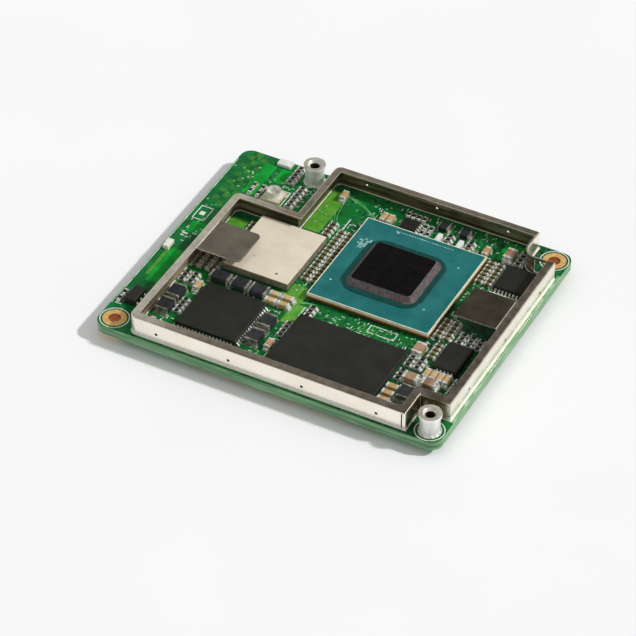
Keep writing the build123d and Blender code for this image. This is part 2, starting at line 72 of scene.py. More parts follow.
# Floor and light
# A pale paper floor under one soft key light from behind on the right and a bright tent all round.
# The tent is dark towards its top, so level metal reads brown and upright metal mirrors the floor.
def shade(red, green, blue):
    """Linear colour of a tone that is read off a screen, 0 to 255."""
    return tuple(((value / 255 + 0.055) / 1.055) ** 2.4 if value > 10 else value / 255 / 12.92
                 for value in (red, green, blue)) + (1.0,)


def node(tree, kind, inputs=None, **settings):
    """A shader node with its settings and the plain values of its inputs."""
    made = tree.nodes.new(kind)
    for setting, value in settings.items():
        setattr(made, setting, value)
    for socket, value in (inputs or {}).items():
        made.inputs[socket].default_value = value
    return made


def ramp(tree, factor, *stops):
    """Colour that follows a factor through the given (place, screen tone) stops."""
    made = node(tree, "ShaderNodeValToRGB")
    elements = made.color_ramp.elements
    while len(elements) < len(stops):
        elements.new(0.5)
    for element, (place, tone) in zip(elements, stops):
        element.position = place
        element.color = shade(*tone)
    tree.links.new(factor, made.inputs["Fac"])
    return made.outputs["Color"]


def by_ray(tree, ray, usual, special):
    """The special shader for that kind of ray, and the usual one for all others."""
    mixed = node(tree, "ShaderNodeMixShader")
    tree.links.new(node(tree, "ShaderNodeLightPath").outputs[ray], mixed.inputs[0])
    tree.links.new(usual.outputs[0], mixed.inputs[1])
    tree.links.new(special.outputs[0], mixed.inputs[2])
    return mixed


world = bpy.data.worlds.new("tent")
bpy.context.scene.world = world
world.use_nodes = True
tree = world.node_tree
tree.nodes.clear()
direction = node(tree, "ShaderNodeSeparateXYZ")
tree.links.new(node(tree, "ShaderNodeTexCoord").outputs["Generated"], direction.inputs[0])
tent = ramp(tree, direction.outputs["Z"], (0.0, (252, 250, 247)), (0.3, (236, 232, 226)),
            (0.48, (150, 143, 134)), (0.66, (92, 84, 76)), (1.0, (104, 98, 92)))
ambient = node(tree, "ShaderNodeBackground", {"Color": shade(255, 255, 255), "Strength": 0.53})
mirrored = node(tree, "ShaderNodeBackground")
tree.links.new(tent, mirrored.inputs["Color"])
seen = node(tree, "ShaderNodeBackground", {"Color": shade(249, 249, 249)})
surroundings = by_ray(tree, "Is Camera Ray", by_ray(tree, "Is Glossy Ray", ambient, mirrored), seen)
tree.links.new(surroundings.outputs[0], node(tree, "ShaderNodeOutputWorld").inputs[0])

bpy.ops.object.light_add(type="SUN")
key = bpy.context.object
key.data.energy = 2.18
key.data.angle = math.radians(4)
key.rotation_euler = Vector((1.05, 0.40, 1.0)).to_track_quat("Z", "Y").to_euler()

floor_size = 3.0
bpy.ops.mesh.primitive_plane_add(size=floor_size, location=(0, 0, 0))
floor = bpy.context.object
floor.name = "paper_floor"
paper = bpy.data.materials.new("floor_paper")
paper.use_nodes = True
tree = paper.node_tree
paper_shader = tree.nodes["Principled BSDF"]
paper_shader.inputs["Roughness"].default_value = 0.9
paper_shader.inputs["Specular IOR Level"].default_value = 0.1
grain = node(tree, "ShaderNodeTexNoise", {"Scale": 40})
tree.links.new(node(tree, "ShaderNodeTexCoord").outputs["Object"], grain.inputs["Vector"])
paper_white = ramp(tree, grain.outputs["Fac"], (0.3, (249, 249, 250)), (0.7, (251, 251, 251)))
tree.links.new(paper_white, paper_shader.inputs["Base Color"])
mirrored_paper = node(tree, "ShaderNodeEmission", {"Color": shade(247, 245, 241)})
paper_surface = by_ray(tree, "Is Glossy Ray", paper_shader, mirrored_paper)
tree.links.new(paper_surface.outputs[0], tree.nodes["Material Output"].inputs["Surface"])
floor.data.materials.append(paper)

# Board laminate
# The board is glass-fibre laminate with six copper layers, pressed, drilled and milled to shape.
# A satin green solder mask covers both faces, and its milled edge shows the bare layers.
MM = 0.001
board_low, board_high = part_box("main_board")
board_top = board_high[2]


class Finish:
    """A material whose colour, roughness and relief follow the place on the module."""

    def __init__(self, name, roughness=0.5, metallic=0.0, specular=0.5):
        self.material = bpy.data.materials.new(name)
        self.material.use_nodes = True
        self.tree = self.material.node_tree
        self.shader = self.tree.nodes["Principled BSDF"]
        self.shader.inputs["Roughness"].default_value = roughness
        self.shader.inputs["Metallic"].default_value = metallic
        self.shader.inputs["Specular IOR Level"].default_value = specular
        self.place = node(self.tree, "ShaderNodeTexCoord").outputs["Object"]

    def link(self, source, target):
        self.tree.links.new(source, target)

    def noise(self, size, detail=3.0, stretch=(1, 1, 1)):
        """Noise whose patches are about that size in millimetres."""
        mapping = node(self.tree, "ShaderNodeMapping", {"Scale": stretch})
        self.link(self.place, mapping.inputs["Vector"])
        made = node(self.tree, "ShaderNodeTexNoise", {"Scale": 1 / (size * MM), "Detail": detail})
        self.link(mapping.outputs["Vector"], made.inputs["Vector"])
        return made.outputs["Fac"]

    def spread(self, source, low, high, to_low=0.0, to_high=1.0):
        """Factor that goes from one value to another while the source goes from low to high."""
        made = node(self.tree, "ShaderNodeMapRange",
                    {"From Min": low, "From Max": high, "To Min": to_low, "To Max": to_high})
        self.link(source, made.inputs["Value"])
        return made.outputs["Result"]

    def wander(self, size, low, high):
        """Factor that wanders between two values."""
        return self.spread(self.noise(size), 0.35, 0.65, low, high)

    def mottle(self, size, low, high, detail=3.0, stretch=(1, 1, 1)):
        """Colour that wanders between two screen tones."""
        return ramp(self.tree, self.noise(size, detail, stretch), (0.36, low), (0.64, high))

    def mix(self, factor, first, second):
        """Blend of two colours by a factor."""
        made = node(self.tree, "ShaderNodeMix", data_type="RGBA")
        self.link(factor, made.inputs["Factor"])
        self.link(first, made.inputs["A"])
        self.link(second, made.inputs["B"])
        return made.outputs["Result"]

    def along(self, axis):
        """Place along one axis of the module, in metres."""
        split = node(self.tree, "ShaderNodeSeparateXYZ")
        self.link(self.place, split.inputs[0])
        return split.outputs[axis]

    def band(self, axis, start, full, still, end):
        """White where the place along an axis lies between two values in millimetres, else black."""
        reach = 25
        black, white = (0, 0, 0), (255, 255, 255)
        stops = [((value + reach) / (2 * reach), tone) for value, tone in
                 ((start, black), (full, white), (still, white), (end, black))]
        return ramp(self.tree, self.spread(self.along(axis), -reach * MM, reach * MM), *stops)

    def facing_up(self):
        """One on a face that looks up, nothing on an upright one."""
        split = node(self.tree, "ShaderNodeSeparateXYZ")
        self.link(node(self.tree, "ShaderNodeNewGeometry").outputs["Normal"], split.inputs[0])
        return split.outputs["Z"]

    def level(self):
        """One on a level face, whichever way it looks, and nothing on an upright one."""
        made = node(self.tree, "ShaderNodeMath", operation="ABSOLUTE")
        self.link(self.facing_up(), made.inputs[0])
        return made.outputs[0]

    def colour(self, source):
        self.link(source, self.shader.inputs["Base Color"])

    def mottled(self, size, low, high, detail=3.0):
        """Let the colour wander between two screen tones."""
        self.colour(self.mottle(size, low, high, detail))

    def roughness(self, size, low, high):
        """Let the roughness wander between two values."""
        self.link(self.wander(size, low, high), self.shader.inputs["Roughness"])

    def relief(self, size, depth, detail=2.0, stretch=(1, 1, 1)):
        """Fine relief of that size and depth in millimetres."""
        bump = node(self.tree, "ShaderNodeBump", {"Distance": depth * MM})
        self.link(self.noise(size, detail, stretch), bump.inputs["Height"])
        self.link(bump.outputs["Normal"], self.shader.inputs["Normal"])


def wear(piece, finish):
    """Give a piece that one finish."""
    piece.data.materials.clear()
    piece.data.materials.append(finish.material)


mask = Finish("green_solder_mask", specular=0.28)
open_mask = mask.mottle(3.0, (6, 90, 38), (12, 124, 48))
dense_mask = mask.mottle(0.4, (6, 62, 34), (34, 136, 70), 4.0)
crowding = mask.spread(mask.noise(2.2, 1.0), 0.42, 0.58)
# Painted shade: inside the fence on the right the mask is painted a darker green.
right_painted_shade_band = mask.band("X", 13.6, 15.0, 22.6, 23.3)
left_strip = mask.band("X", -24.6, -24.4, -19.8, -19.2)
mask_top = mask.mix(crowding, open_mask, dense_mask)
mask_top = mask.mix(right_painted_shade_band, mask_top, mask.mottle(0.5, (8, 44, 26), (24, 104, 54), 4.0))
mask_top = mask.mix(left_strip, mask_top, mask.mottle(1.6, (6, 88, 42), (16, 120, 58)))
mask_face = mask.mix(mask.facing_up(), open_mask, mask_top)
edge_layers = ramp(mask.tree, mask.noise(0.16, 1.0, (0.02, 0.02, 1)),
                   (0.38, (70, 116, 78)), (0.5, (132, 176, 134)), (0.62, (90, 138, 96)))
mask.colour(mask.mix(mask.level(), edge_layers, mask_face))
mask.roughness(1.4, 0.28, 0.42)
mask.relief(0.5, 0.006)
wear(nodes["main_board"], mask)

# Copper under the mask
# Copper areas and tracks are etched on the top layer, so the mask over them stands up a little.
# It looks brighter there, and yellower over the wide pours near the radio and the power stages.
pour_height = 0.012
track_height = 0.018


def carry(piece, slot_name, *stands_for):
    """The piece rides with the module and may stand for CAD nodes, which it hides; slot_name is not used."""
    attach(piece, "root")
    if stands_for:
        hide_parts(*stands_for)


def only(piece):
    """Leave nothing but this piece selected."""
    bpy.ops.object.select_all(action="DESELECT")
    piece.select_set(True)
    bpy.context.view_layer.objects.active = piece


def settle(piece):
    """Put the place, turn and size of a piece into its mesh."""
    only(piece)
    bpy.ops.object.transform_apply(location=True, rotation=True, scale=True)


def lay_sheet(name, x0, y0, x1, y1, foot):
    """Flat rectangle at that height, in millimetres, open in edit mode with all of it selected."""
    bpy.ops.object.select_all(action="DESELECT")
    bpy.ops.mesh.primitive_plane_add(
        size=1, location=((x0 + x1) / 2 * MM, (y0 + y1) / 2 * MM, foot))
    piece = bpy.context.object
    piece.name = name
    piece.scale = ((x1 - x0) * MM, (y1 - y0) * MM, 1)
    settle(piece)
    bpy.ops.object.mode_set(mode="EDIT")
    bpy.ops.mesh.select_all(action="SELECT")
    return piece


def raise_sheet(height):
    """Pull the flat sheet in edit mode up to a closed plate that looks outwards, and leave edit mode."""
    bpy.ops.mesh.select_all(action="SELECT")
    bpy.ops.mesh.extrude_region_move(TRANSFORM_OT_translate={"value": (0, 0, height * MM)})
    bpy.ops.mesh.select_all(action="SELECT")
    bpy.ops.mesh.normals_make_consistent(inside=False)
    bpy.ops.object.mode_set(mode="OBJECT")


def plate(name, x0, y0, x1, y1, height=pour_height, foot=board_top, corner=0.0):
    """Thin plate on the board, which may have clipped corners."""
    piece = lay_sheet(name, x0, y0, x1, y1, foot)
    if corner:
        bpy.ops.mesh.bevel(offset=corner * MM, segments=2, affect="VERTICES")
    raise_sheet(height)
    return piece


def track(points, width):
    """Smooth etched line of that width through points on the board, in millimetres."""
    bpy.ops.object.select_all(action="DESELECT")
    bpy.ops.curve.primitive_nurbs_path_add(location=(0, 0, 0))
    piece = bpy.context.object
    piece.name = "track"
    piece.data.splines.remove(piece.data.splines[0])
    spline = piece.data.splines.new("NURBS")
    spline.points.add(len(points) - 1)
    for point, (x, y) in zip(spline.points, points):
        point.co = (x * MM, y * MM, board_top + track_height * MM / 2, 1)
    spline.order_u = 3
    spline.use_endpoint_u = True
    spline.resolution_u = 6
    piece.data.extrude = 0
    piece.data.bevel_mode = "ROUND"
    piece.data.bevel_depth = width * MM / 2
    piece.data.bevel_resolution = 0
    piece.data.use_fill_caps = True
    only(piece)
    bpy.ops.object.convert(target="MESH")
    piece = bpy.context.object
    piece.data.transform(Matrix.Translation((0, 0, -board_top)))
    piece.data.transform(Matrix.Diagonal((1, 1, track_height / width, 1)))
    piece.data.transform(Matrix.Translation((0, 0, board_top)))
    return piece


def join(name, pieces):
    """One piece out of many like ones."""
    bpy.ops.object.select_all(action="DESELECT")
    for piece in pieces:
        piece.select_set(True)
    joined = pieces[0]
    bpy.context.view_layer.objects.active = joined
    if len(pieces) > 1:
        bpy.ops.object.join()
    joined.name = name
    return joined


bright_areas = [(-22.4, -9.8, -20.2, -2.6), (-20.2, 11.6, -18.4, 18.4), (-17.6, 15.3, -16.0, 18.3),
                (-22.8, 1.2, -19.9, 3.5), (15.2, 14.9, 18.6, 18.6)]
yellow_areas = [(-22.95, -8.8, -22.5, -2.9), (-18.7, 4.7, -16.2, 6.6), (-9.6, 8.8, -7.2, 17.6),
                (-5.9, -4.85, -2.7, -1.6), (-3.5, -8.8, -1.7, -4.9), (-17.9, -8.2, -15.6, -6.2)]
bright_pour = Finish("green_mask_over_copper", specular=0.25)
bright_pour.mottled(1.6, (0, 138, 42), (4, 168, 58))
bright_pour.roughness(1.0, 0.24, 0.38)
bright_pour.relief(0.4, 0.005)
yellow_pour = Finish("yellow_green_mask_over_copper", specular=0.25)
yellow_pour.mottled(1.2, (76, 148, 44), (104, 172, 58))
yellow_pour.roughness(1.0, 0.26, 0.4)
yellow_pour.relief(0.4, 0.005)
for name, areas, finish in (("bright_copper_pours", bright_areas, bright_pour),
                            ("yellow_copper_pours", yellow_areas, yellow_pour)):
    piece = join(name, [plate(name, *area, corner=0.25) for area in areas])
    wear(piece, finish)
    carry(piece, "solder_mask_board")

left_edge, right_edge = board_low[0] / MM, board_high[0] / MM
hatch_front, hatch_cell = 7.6, 0.95
hatch_inset, hatch_overlap, hatch_gap = 0.12, 0.1, 0.04
# The cells stop where the board's back corner is rounded
corner_x, corner_y, corner_reach = -21.9, 18.0, 2.0
hatch = []
for column in range(4):
    for row in range(13):
        x, y = left_edge + hatch_cell * column, hatch_front + hatch_cell * row
        past_corner = math.hypot(max(corner_x - x, 0), max(y + hatch_cell - corner_y, 0)) > corner_reach
        if (column + row) % 2 == 0 and not past_corner:
            hatch.append(plate("hatch", x + hatch_inset, y, x + hatch_cell + hatch_overlap,
                               y + hatch_cell - hatch_gap))
hatch = join("hatched_ground_copper", hatch)
hatch_finish = Finish("olive_mask_over_copper", specular=0.25)
hatch_finish.mottled(1.5, (34, 112, 44), (66, 132, 50))
hatch_finish.roughness(1.0, 0.26, 0.4)
hatch_finish.relief(0.4, 0.005)
wear(hatch, hatch_finish)
carry(hatch, "solder_mask_board")

tracks = []
for step in range(5):
    shift = 0.42 * step
    tracks.append([(-8.9 + shift, 16.8), (-8.7 + shift, 13.4), (-7.4 + shift * 0.9, 11.9 - shift * 0.4),
                   (-5.2, 11.2 - shift * 0.8), (-4.0, 10.7 - shift)])
for step in range(4):
    shift = 0.5 * step
    tracks.append([(-8.2 + shift, 17.6 - shift * 0.4), (-5.2 + shift, 17.1 - shift * 0.8),
                   (-3.4 + shift * 0.5, 15.6 - shift * 0.5), (-1.2, 14.6 - shift * 0.2)])
for step in range(5):
    shift = 0.4 * step
    tracks.append([(-6.4 + shift, -7.0), (-5.6 + shift, -5.4), (-3.2 + shift, -4.3 + shift * 0.2),
                   (-0.8 + shift, -3.9 + shift * 0.1)])
for step in range(6):
    shift = 0.45 * step
    tracks.append([(6.0 + shift, -3.9), (6.2 + shift, -5.0), (5.2 + shift * 1.1, -5.9),
                   (5.0 + shift * 1.1, -7.1)])
for step in range(4):
    shift = 0.5 * step
    tracks.append([(-18.4 + shift, -12.6), (-17.9 + shift, -10.2), (-16.4 + shift * 0.3, -9.4)])
    tracks.append([(15.1, 9.0 - shift), (16.4, 8.7 - shift), (17.2 + shift, 8.1), (18.8 + shift, 8.1)])
tracks = join("mask_over_tracks", [track(points, 0.12) for points in tracks])
track_finish = Finish("light_green_mask_over_tracks", specular=0.25)
track_finish.mottled(0.9, (70, 160, 84), (112, 190, 116))
track_finish.roughness(0.8, 0.24, 0.36)
track_finish.relief(0.3, 0.004)
wear(tracks, track_finish)
carry(tracks, "solder_mask_board")

# Guard tracks run under the mask along both board edges; their pale colour is partly a painted highlight of
# the bright edge lines.
edge_tracks_painted_highlight = []
for x, back_end in ((right_edge - 0.1, 15.6), (right_edge - 0.33, 15.6), (left_edge + 0.12, 17.6)):
    edge_tracks_painted_highlight.append([(x, -15.6), (x, 0.0), (x, back_end)])
edge_tracks_painted_highlight = join("guard_tracks_with_painted_highlight", [track(points, 0.17) for points in edge_tracks_painted_highlight])
edge_highlight_finish = Finish("guard_tracks_painted_highlight")
edge_highlight_finish.mottled(1.4, (140, 192, 142), (216, 234, 208))
edge_highlight_finish.roughness(0.8, 0.28, 0.4)
edge_highlight_finish.relief(0.3, 0.004)
wear(edge_tracks_painted_highlight, edge_highlight_finish)
carry(edge_tracks_painted_highlight, "solder_mask_board")

# Printed outlines
# White epoxy ink is screened on the mask: rings round the two holes and the near spacer, frames round the
# packages and short polarity marks beside the small parts. It carries no words.
ink_height = 0.02


def frame_print(name, x0, y0, x1, y1, line=0.12, foot=board_top):
    """Printed rectangle of one line width, in millimetres."""
    piece = lay_sheet(name, x0, y0, x1, y1, foot)
    bpy.ops.mesh.inset(thickness=line * MM)
    bpy.ops.mesh.delete(type="FACE")
    raise_sheet(ink_height)
    return piece


def ring_print(name, x, y, inner, outer, height=ink_height, foot=board_top, sides=48):
    """Printed ring, or a disc where it has no inner radius, in millimetres."""
    bpy.ops.object.select_all(action="DESELECT")
    bpy.ops.mesh.primitive_circle_add(
        vertices=sides, radius=outer * MM, fill_type="NGON", location=(x * MM, y * MM, foot))
    piece = bpy.context.object
    piece.name = name
    settle(piece)
    bpy.ops.object.mode_set(mode="EDIT")
    bpy.ops.mesh.select_all(action="SELECT")
    if inner:
        bpy.ops.mesh.inset(thickness=(outer - inner) * MM)
        bpy.ops.mesh.delete(type="FACE")
    raise_sheet(height)
    return piece


fixing_inset, far_spacer_x = 2.0, -12.65
fixing_front, fixing_back = board_low[1] / MM + fixing_inset, board_high[1] / MM - fixing_inset
near_hole, far_hole = (left_edge + fixing_inset, fixing_front), (right_edge - fixing_inset, fixing_back)
near_spacer, far_spacer = (right_edge - fixing_inset, fixing_front), (far_spacer_x, fixing_back)
prints = [ring_print("ring", x, y, 1.8, 1.92) for x, y in (near_hole, far_hole, near_spacer)]
outlined = [(-23.3, 3.9, -21.5, 6.7), (-17.35, 11.0, -14.2, 14.3), (7.0, -5.6, 10.8, -4.1),
            (16.9, 8.6, 22.3, 14.0), (-1.9, -6.9, -0.5, -5.0)]
prints += [frame_print("frame", *area) for area in outlined]
bars = [(-22.8, 4.9, -22.1, 5.6), (-22.9, 0.6, -22.1, 0.8), (-22.9, 0.1, -22.4, 0.3),
        (-21.6, 1.0, -21.0, 1.2), (-23.5, -15.4, -22.6, -15.2), (-20.5, -11.2, -19.9, -11.0),
        (-4.9, 8.0, -4.75, 13.2), (-14.9, -15.9, -14.8, -7.2), (-2.15, -15.8, -2.0, -13.4),
        (-1.6, -6.6, 0.2, -6.45)]
prints += [plate("bar", *area, height=ink_height) for area in bars]
marks = random.Random(7)
# Each field has its left, front, right and back edge, and how many marks lie in it
mark_fields = [(-18.6, -18.4, -15.4, -6.8, 30), (-5.6, -18.5, -1.7, -5.2, 36), (14.2, -14.2, 18.0, -2.0, 44),
               (-5.0, -3.2, -2.7, 13.0, 34), (14.8, -1.5, 17.2, 13.0, 34), (-3.0, 13.9, 17.5, 18.4, 80),
               (-15.8, 9.2, -10.8, 15.8, 40), (2.0, -6.8, 14.0, -3.9, 30), (-23.4, -1.0, -20.5, 3.6, 12),
               (16.5, -1.6, 22.0, 0.4, 10), (-15.0, -6.4, -5.0, -5.6, 16)]
for x0, y0, x1, y1, count in mark_fields:
    for _ in range(count):
        x, y = marks.uniform(x0, x1), marks.uniform(y0, y1)
        long, wide = marks.uniform(0.28, 0.6), 0.1
        if marks.random() < 0.5:
            long, wide = wide, long
        prints.append(plate("mark", x, y, x + long, y + wide, height=ink_height))
prints = join("printed_outlines", prints)
ink = Finish("white_screened_ink", 0.6)
ink.mottled(0.3, (206, 214, 200), (242, 246, 238))
ink.relief(0.08, 0.004)
wear(prints, ink)
carry(prints, "solder_mask_board")

# Vias
# Small drills, plated with copper, join the layers of the board.
# The mask tents them, so each shows as a low dimpled bead.
via_spots = random.Random(21)
# Each field has its left, front, right and back edge, and how many vias lie in it
via_fields = [(-5.4, -3.2, -2.6, 13.0, 40), (-9.5, 8.8, 16.5, 17.8, 90), (14.8, -2.5, 17.2, 13.4, 34),
              (-5.5, -7.0, 13.8, -3.9, 46), (-23.6, 3.5, -19.8, 18.8, 22), (-18.6, -18.6, -15.4, 6.8, 36),
              (14.2, -15.0, 22.4, -8.4, 40), (-5.8, -18.6, -1.6, -7.4, 26), (-18.4, 9.0, -10.6, 17.5, 34)]
bead = ring_print("via_bead", 0, 0, 0.06, 0.17, height=0.02, foot=0, sides=8)


def copies(name, model, places):
    """Copies of one model, each with its own mesh moved by a matrix, joined to one piece."""
    made = []
    for place in places:
        copy = bpy.data.objects.new(name, model.data.copy())
        bpy.context.collection.objects.link(copy)
        copy.data.transform(place)
        made.append(copy)
    bpy.data.objects.remove(model)
    return join(name, made)


spots = [Matrix.Translation((via_spots.uniform(x0, x1) * MM, via_spots.uniform(y0, y1) * MM, board_top))
         for x0, y0, x1, y1, count in via_fields for _ in range(count)]
vias = copies("tented_vias", bead, spots)
via_finish = Finish("pale_green_via_mask", 0.3)
via_finish.mottled(2.0, (70, 160, 96), (150, 206, 150))
via_finish.relief(0.1, 0.003)
wear(vias, via_finish)
carry(vias, "solder_mask_board")

# Plated holes
# The two fixing holes are drilled and plated through in copper, then gold: a flat ring on each
# face and a barrel between them, which is painted a darker copper tone as a painted reflection of itself.
gold = Finish("plated_gold", metallic=0.4)
# Painted reflection: upright faces are painted coppery, level faces bright gold.
gold.colour(gold.mix(gold.level(), gold.mottle(0.5, (150, 74, 26), (186, 104, 44)),
                     gold.mottle(0.6, (242, 190, 114), (251, 210, 140))))
gold.roughness(0.4, 0.24, 0.4)
gold.relief(0.15, 0.002)
wear(nodes["hole_platings"], gold)

# Threaded spacers
# Each is turned from nickel plated steel bar: a plain body, a wider rim and a tapped blind bore
# with a countersunk mouth. A ring of solder holds its foot to the board.
spacer_body, spacer_rim, spacer_mouth, spacer_bore = 1.28, 1.47, 0.95, 0.62
spacer_height, rim_height = (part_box("threaded_spacers")[1][2] - board_top) / MM, 0.4
thread_pitch, thread_depth, thread_turns = 0.35, 0.07, 5
fillet_reach, fillet_height, fillet_curve, fillet_hollow = 0.22, 0.14, 0.12, 0.12


def pick(kind, test):
    """In edit mode: select the edges or faces whose every corner passes the test."""
    bpy.ops.mesh.select_mode(type=kind)
    bpy.ops.mesh.select_all(action="DESELECT")
    mesh = bmesh.from_edit_mesh(bpy.context.object.data)
    for item in mesh.edges if kind == "EDGE" else mesh.faces:
        if all(test(corner.co) for corner in item.verts):
            item.select_set(True)
    bmesh.update_edit_mesh(bpy.context.object.data)


def finish_edges(piece, width, segments=2, limit=35.0, edge_slot=-1):
    """Soften the sharp edges of a piece by a small bevel, and keep its large faces flat in the light."""
    only(piece)
    softening = piece.modifiers.new("softened_edges", "BEVEL")
    softening.width = width * MM
    softening.segments = segments
    softening.limit_method = "ANGLE"
    softening.angle_limit = math.radians(limit)
    softening.use_clamp_overlap = True
    softening.material = edge_slot
    bpy.ops.object.modifier_apply(modifier="softened_edges")
    bpy.ops.object.shade_smooth_by_angle(angle=math.radians(30))
    flattening = piece.modifiers.new("flat_faces", "WEIGHTED_NORMAL")
    flattening.mode = "FACE_AREA"
    flattening.weight = 100
    flattening.keep_sharp = True
    bpy.ops.object.modifier_apply(modifier="flat_faces")


def pull(height, scale=1.0):
    """In edit mode: extrude the selected cap by a height and a scale about the spacer's axis."""
    bpy.ops.mesh.extrude_region_move(TRANSFORM_OT_translate={"value": (0, 0, height * MM)})
    bpy.ops.transform.resize(value=(scale, scale, 1), center_override=(0, 0, 0))


body_height = (spacer_height - rim_height) * MM
bpy.ops.object.select_all(action="DESELECT")
bpy.ops.mesh.primitive_cylinder_add(
    vertices=56, radius=spacer_body * MM, depth=body_height, location=(0, 0, body_height / 2))
turned_spacer = bpy.context.object
settle(turned_spacer)
bpy.ops.object.mode_set(mode="EDIT")
pick("FACE", lambda co: co.z > body_height * 0.99)
pull(0, spacer_rim / spacer_body)
pull(rim_height)
pull(0, spacer_mouth / spacer_rim)
pull(-(spacer_mouth - spacer_bore), spacer_bore / spacer_mouth)
thread_bottom = spacer_bore + thread_depth
for _ in range(thread_turns):
    pull(-thread_pitch / 2, thread_bottom / spacer_bore)
    pull(-thread_pitch / 2, spacer_bore / thread_bottom)
# Painted shade: faces that look up are painted a darker grey than the bright upright sides; the socket's
# shell and pin wear this too.
nickel_painted_top_shade = Finish("turned_nickel_painted_top_shade", metallic=0.4)
nickel_painted_top_shade.colour(nickel_painted_top_shade.mix(nickel_painted_top_shade.facing_up(), nickel_painted_top_shade.mottle(0.5, (244, 245, 242), (253, 253, 252)),
                         nickel_painted_top_shade.mottle(0.5, (180, 176, 162), (206, 202, 188))))
nickel_painted_top_shade.roughness(0.4, 0.32, 0.44)
nickel_painted_top_shade.relief(0.12, 0.001, 1.0, (1, 1, 8))
# Painted shade: the threads inside the bore are painted dark brown.
bore_painted_shade = Finish("painted_shade_in_thread_bore", 0.34, 0.7)
bore_painted_shade.mottled(0.2, (58, 48, 44), (92, 80, 72))
bore_painted_shade.relief(0.1, 0.002)
turned_spacer.data.materials.append(nickel_painted_top_shade.material)
turned_spacer.data.materials.append(bore_painted_shade.material)
pick("FACE", lambda co: co.xy.length < (thread_bottom + 0.01) * MM)
turned_spacer.active_material_index = 1
bpy.ops.object.material_slot_assign()
bpy.ops.object.mode_set(mode="OBJECT")
finish_edges(turned_spacer, 0.035, limit=50.0)
spacer_places = [Matrix.Translation((x * MM, y * MM, board_top)) for x, y in (near_spacer, far_spacer)]
spacer_pair = copies("turned_spacers", turned_spacer, spacer_places)
carry(spacer_pair, "nickel_steel", "threaded_spacers")

foot_solder = ring_print("foot_solder", 0, 0, spacer_body - 0.02, spacer_body + fillet_reach,
                         fillet_height, foot=0)
only(foot_solder)
bpy.ops.object.mode_set(mode="EDIT")
outer_rim = (spacer_body + fillet_reach / 2) * MM
pick("EDGE", lambda co: co.z > fillet_height * 0.9 * MM and co.xy.length > outer_rim)
bpy.ops.mesh.bevel(offset=fillet_curve * MM, segments=4, profile=fillet_hollow, affect="EDGES")
bpy.ops.object.mode_set(mode="OBJECT")
bpy.ops.object.shade_smooth_by_angle(angle=math.radians(50))
foot_solder = copies("spacer_foot_solder", foot_solder, spacer_places)
solder = Finish("reflowed_solder", metallic=0.25)
solder.mottled(0.22, (162, 168, 150), (253, 254, 248), 1.0)
solder.roughness(0.3, 0.2, 0.42)
solder.relief(0.12, 0.006)
wear(foot_solder, solder)
carry(foot_solder, "solder")

# Shield fence
# One piece of tin plated steel sheet, blanked, folded up all round and soldered to its land. The
# lip turns inwards, two wide tabs are left for the pick-up nozzle, and the cut edges carry a painted
# highlight.


def softened(node_name, name, width, segments=2, limit=40.0, edge_slot=-1):
    """A copy of a CAD node with clean faces and softened edges, which stands for the node."""
    piece = bpy.data.objects.new(name, nodes[node_name].data.copy())
    bpy.context.collection.objects.link(piece)
    only(piece)
    bpy.ops.object.mode_set(mode="EDIT")
    bpy.ops.mesh.select_all(action="SELECT")
    bpy.ops.mesh.remove_doubles(threshold=0.0005 * MM)
    bpy.ops.mesh.dissolve_limited(angle_limit=math.radians(0.5))
    bpy.ops.object.mode_set(mode="OBJECT")
    piece.data.materials.clear()
    for _ in range(edge_slot + 1):
        piece.data.materials.append(None)
    finish_edges(piece, width, segments, limit, edge_slot)
    return piece


def facing_out(finish):
    """One on a wall that looks away from the middle of the module, nothing on its inner side."""
    away = node(finish.tree, "ShaderNodeVectorMath", operation="DOT_PRODUCT")
    finish.link(node(finish.tree, "ShaderNodeNewGeometry").outputs["Normal"], away.inputs[0])
    finish.link(finish.place, away.inputs[1])
    outward = node(finish.tree, "ShaderNodeMath", {1: 0.0}, operation="GREATER_THAN")
    finish.link(away.outputs["Value"], outward.inputs[0])
    return outward.outputs[0]


tin = Finish("rolled_tin_plate")
outward = facing_out(tin)
# Painted shade: the outer walls round the notch by the near spacer are painted a darker brown than the other
# outer walls.
spacer_notch_painted_shade = node(tin.tree, "ShaderNodeMath", operation="MULTIPLY")
tin.link(tin.band("X", 18.9, 19.3, 22.8, 23.3), spacer_notch_painted_shade.inputs[0])
tin.link(tin.band("Y", -19.3, -19.0, -15.0, -14.6), spacer_notch_painted_shade.inputs[1])
outer_wall = tin.mix(spacer_notch_painted_shade.outputs[0], tin.mottle(4.0, (246, 239, 227), (253, 249, 241)),
                     tin.mottle(0.8, (126, 114, 88), (166, 152, 124)))
# Painted shade: the inner faces of the walls are painted dark brown with streaks running along them, while
# the outer faces keep the bright tin colour.
inner_wall_painted_shade = tin.mottle(0.5, (104, 90, 72), (196, 180, 154), 3.0, (0.05, 0.05, 1))
# Painted reflection: the level lips are painted darker than the outer walls, light at the left end and
# darkening towards the right end.
painted_reflection_gradient = ramp(tin.tree, tin.spread(tin.along("X"), -20 * MM, 24 * MM),
             (0.03, (236, 228, 214)), (0.3, (192, 182, 168)), (0.7, (180, 172, 158)),
             (0.9, (104, 98, 86)), (1.0, (88, 83, 71)))
lip_painted_reflection = tin.mix(tin.noise(2.6), painted_reflection_gradient, tin.mottle(0.9, (158, 150, 136), (206, 197, 184)))
tin.colour(tin.mix(tin.facing_up(), tin.mix(outward, inner_wall_painted_shade, outer_wall), lip_painted_reflection))
haze = tin.spread(tin.along("X"), -18.2 * MM, -10 * MM, 0.55, 0.95)
soldered_foot = tin.mix(tin.band("Z", 2.2, 2.3, 2.82, 2.98), haze, tin.wander(2.0, 0.1, 0.2))
tin.link(tin.mix(outward, haze, soldered_foot), tin.shader.inputs["Metallic"])
rolled = tin.wander(2.0, 0.38, 0.46)
